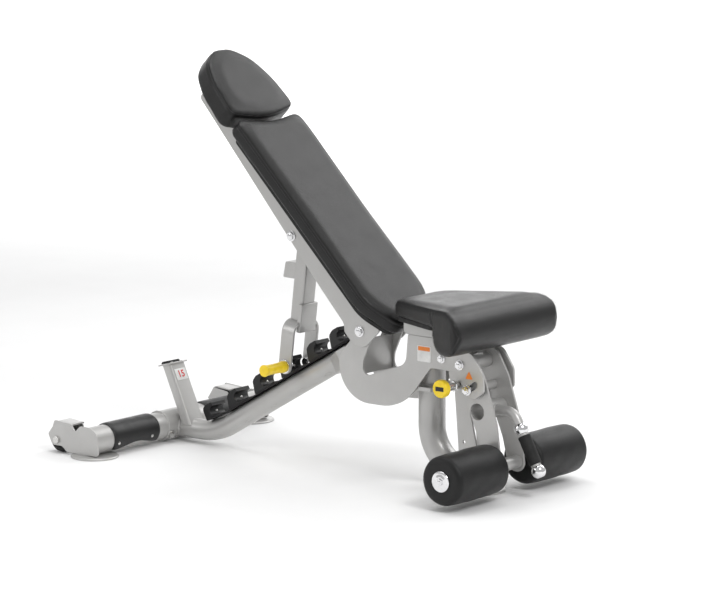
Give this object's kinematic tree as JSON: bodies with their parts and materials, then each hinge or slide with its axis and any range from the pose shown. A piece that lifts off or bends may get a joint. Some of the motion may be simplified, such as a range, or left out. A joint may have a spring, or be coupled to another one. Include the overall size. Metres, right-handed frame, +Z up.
{
  "type": "adjustable weight bench",
  "caption": "Adjustable weight bench: padded back on a strut and hooked ladder, fixed seat, swinging leg hold-down with foam rollers, sprung pin, transport wheels.",
  "frame": {"origin": "centre of the overall footprint, on the floor", "axes": "+X towards the seat and leg rollers, +Y towards the far side, +Z up"},
  "size_m": [1.3538, 0.741, 1.0486],
  "materials": {
    "silver_powder_coat": "light warm silver-grey powder coat, satin",
    "black_vinyl": "black upholstery vinyl, fine grain, satin",
    "black_foam": "black skinned foam, satin",
    "black_plastic": "moulded, matt",
    "black_rubber": "matt",
    "yellow_plastic": "yellow, satin gloss",
    "chrome": "polished plating",
    "black_board": "black backing board"
  },
  "bodies": {
    "frame": {"rear_cross_tube": "silver_powder_coat", "end_bracket_near": "silver_powder_coat", "end_bracket_far": "silver_powder_coat", "rear_foot_near": "silver_powder_coat", "rear_foot_far": "silver_powder_coat", "front_foot": "silver_powder_coat", "spine_tube": "silver_powder_coat", "spine_saddle": "silver_powder_coat", "rear_post": "silver_powder_coat", "yoke_plate_near": "silver_powder_coat", "yoke_plate_far": "silver_powder_coat", "yoke_web": "silver_powder_coat", "yoke_spacer": "silver_powder_coat", "front_post": "silver_powder_coat", "post_saddle": "silver_powder_coat", "foot_brace_near": "silver_powder_coat", "foot_brace_far": "silver_powder_coat", "pin_bracket": "silver_powder_coat", "seat_bracket": "silver_powder_coat", "scuff_guard_near": "black_plastic", "scuff_guard_far": "black_plastic", "ladder_strip": "black_plastic", "ladder_hook_1": "black_plastic", "ladder_hook_2": "black_plastic", "ladder_hook_3": "black_plastic", "ladder_hook_4": "black_plastic", "ladder_hook_5": "black_plastic", "ladder_hook_6": "black_plastic", "post_bumper": "black_rubber", "leg_pivot_bolt": "chrome", "seat_board": "black_board", "seat_pad": "black_vinyl"},
    "wheel_near": {"transport_wheel_near": "black_rubber"},
    "wheel_far": {"transport_wheel_far": "black_rubber"},
    "back_shaft": {"back_pivot_bolt": "chrome"},
    "back": {"back_rail_near": "silver_powder_coat", "back_rail_far": "silver_powder_coat", "stop_tie": "silver_powder_coat", "back_board": "black_board", "back_pad": "black_vinyl", "head_pad": "black_vinyl"},
    "strut_shaft": {"strut_pivot_pin": "chrome"},
    "strut": {"strut": "silver_powder_coat", "strut_bumper": "black_rubber", "foot_bar_near": "chrome", "foot_bar_far": "chrome", "foot_grip_near": "yellow_plastic", "foot_grip_far": "yellow_plastic"},
    "leg": {"leg_plate_near": "silver_powder_coat", "leg_plate_far": "silver_powder_coat", "pivot_tube": "silver_powder_coat", "stop_tube": "silver_powder_coat", "axle_tube": "silver_powder_coat", "leg_stop_bolt": "chrome", "receiver_handle": "silver_powder_coat", "handle_grip": "black_rubber", "roller_axle": "chrome"},
    "roller_near": {"foam_roller_near": "black_foam"},
    "roller_far": {"foam_roller_far": "black_foam"},
    "pop_pin": {"pop_pin_knob": "yellow_plastic"}
  },
  "joints": [
    {"name": "back_recline", "type": "hinge", "parent": "frame", "child": "back_shaft", "pos_m": [0.15345, 0, 0.373], "axis": [0, 1, 0], "range_deg": [-60, 0]},
    {"name": "back_raise", "type": "hinge", "parent": "back_shaft", "child": "back", "pos_m": [0.15345, 0, 0.373], "axis": [0, 1, 0], "range_deg": [0, 39.5]},
    {"name": "strut_fold_recline", "type": "hinge", "parent": "back", "child": "strut_shaft", "pos_m": [-0.06943, 0, 0.59305], "axis": [0, 1, 0], "range_deg": [0, 112]},
    {"name": "strut_fold_raise", "type": "hinge", "parent": "strut_shaft", "child": "strut", "pos_m": [-0.06943, 0, 0.59305], "axis": [0, 1, 0], "range_deg": [-36, 0]},
    {"name": "leg_swing", "type": "hinge", "parent": "frame", "child": "leg", "pos_m": [0.46445, 0, 0.323], "axis": [0, -1, 0], "range_deg": [0, 25]},
    {"name": "roller_near_spin", "type": "hinge", "parent": "leg", "child": "roller_near", "pos_m": [0.56045, -0.162, 0.077], "axis": [0, 1, 0], "continuous": true},
    {"name": "roller_far_spin", "type": "hinge", "parent": "leg", "child": "roller_far", "pos_m": [0.56045, 0.162, 0.077], "axis": [0, 1, 0], "continuous": true},
    {"name": "wheel_near_spin", "type": "hinge", "parent": "frame", "child": "wheel_near", "pos_m": [-0.64355, -0.3125, 0.035], "axis": [0, 1, 0], "continuous": true},
    {"name": "wheel_far_spin", "type": "hinge", "parent": "frame", "child": "wheel_far", "pos_m": [-0.64355, 0.3125, 0.035], "axis": [0, 1, 0], "continuous": true},
    {"name": "pop_pin_pull", "type": "slide", "parent": "frame", "child": "pop_pin", "axis": [0, -1, 0], "range_m": [0, 0.012], "stiffness_N_per_m": 600}
  ],
  "couplings": [
    {"joint": "strut_fold_recline", "follows": "back_recline", "ratio": -1.856},
    {"joint": "strut_fold_raise", "follows": "back_raise", "ratio": -0.8944}
  ]
}
